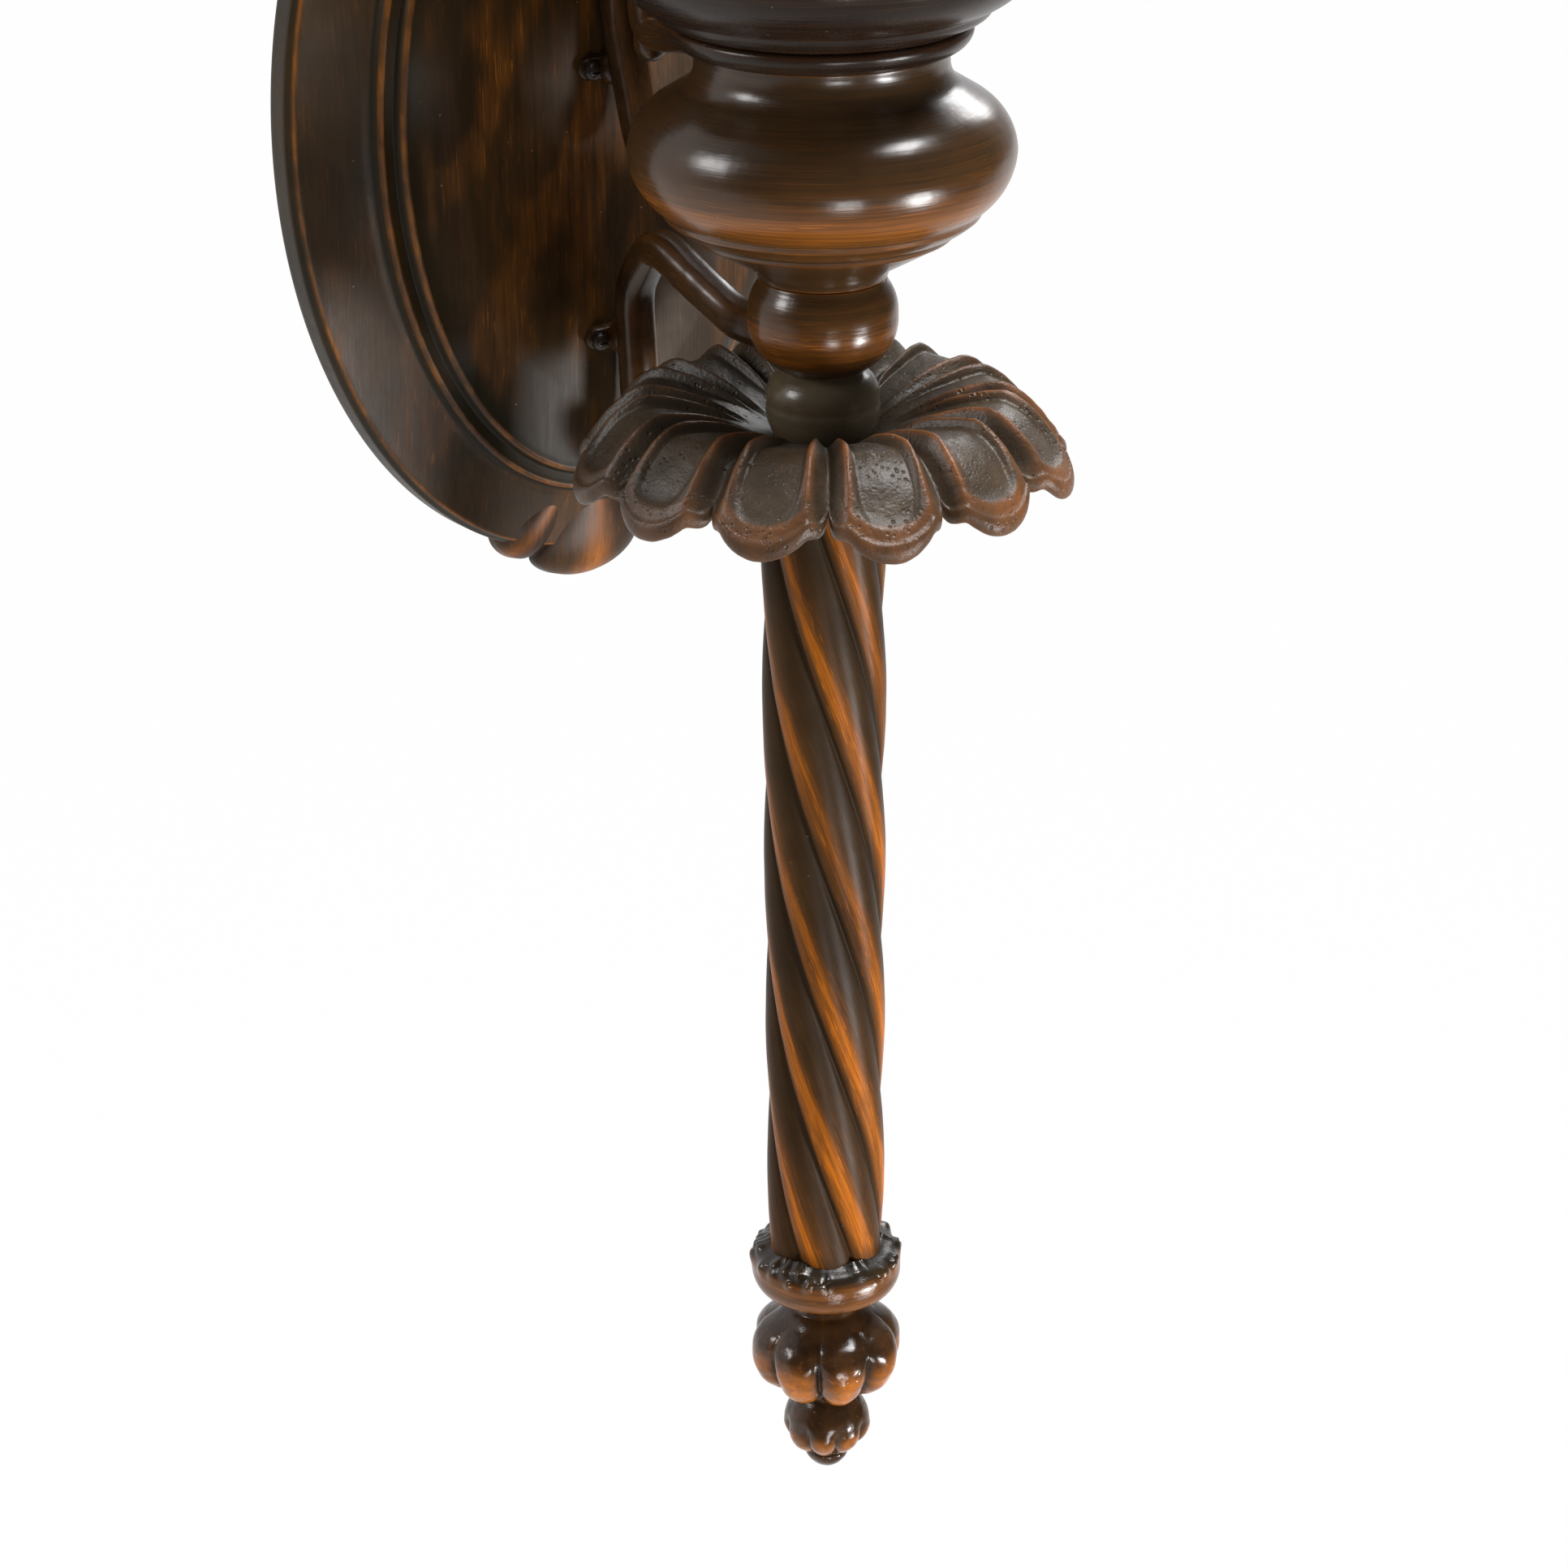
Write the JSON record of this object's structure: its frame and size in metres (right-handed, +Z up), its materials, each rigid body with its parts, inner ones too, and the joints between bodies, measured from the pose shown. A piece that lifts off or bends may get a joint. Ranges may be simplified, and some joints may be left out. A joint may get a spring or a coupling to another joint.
{
  "type": "torch sconce",
  "caption": "Torch-shaped wall light: oval moulded wall plate, scroll arms, turned urn and ball, drooping petal collar, rope-twist shaft, lobed finial and open glass shade.",
  "frame": {"origin": "on the wall, midway between the two slots of the mounting strap, which is the centre of the oval plate", "axes": "+Z up, +Y into the wall, +X to the right of someone facing the light"},
  "size_m": [0.226, 0.238, 0.7181],
  "materials": {
    "bronzed_casting": "dark brown lacquer over casting, rubbed to orange-brown on the raised edges, glossy",
    "bronzed_turning": "dark brown lacquer over turned metal, brushed streaks, glossy",
    "dark_screws": "small fasteners in the same dark brown lacquer",
    "zinc_steel": "zinc plated",
    "frosted_glass": "satin opal",
    "bulb_glass": "frosted",
    "brass_cap": "plain",
    "holder_plastic": "moulded"
  },
  "bodies": {
    "sconce": {"mounting_strap": "zinc_steel", "plate_studs": "zinc_steel", "acorn_nuts": "dark_screws", "ground_screw": "zinc_steel", "backplate": "bronzed_casting", "upper_scroll_arm": "bronzed_casting", "lower_scroll_arm": "bronzed_casting", "arm_screws": "dark_screws", "lampholder": "holder_plastic", "cup": "bronzed_turning", "neck_bead": "bronzed_turning", "urn": "bronzed_turning", "ball_knop": "bronzed_turning", "small_ball": "bronzed_turning", "petal_collar": "bronzed_casting", "twisted_shaft": "bronzed_casting", "shaft_ring": "bronzed_casting", "finial": "bronzed_casting", "centre_tube": "zinc_steel", "tube_washer": "zinc_steel", "tube_nut": "zinc_steel"},
    "shade": {"glass_shade": "frosted_glass"},
    "lamp": {"lamp_bulb": "bulb_glass", "lamp_cap": "brass_cap"}
  },
  "joints": [
    {"name": "shade_lift", "type": "slide", "parent": "sconce", "child": "shade", "axis": [0, 0, 1], "range_m": [0, 0.06]},
    {"name": "lamp_out", "type": "slide", "parent": "sconce", "child": "lamp", "axis": [0, 0, 1], "range_m": [0, 0.03]}
  ]
}
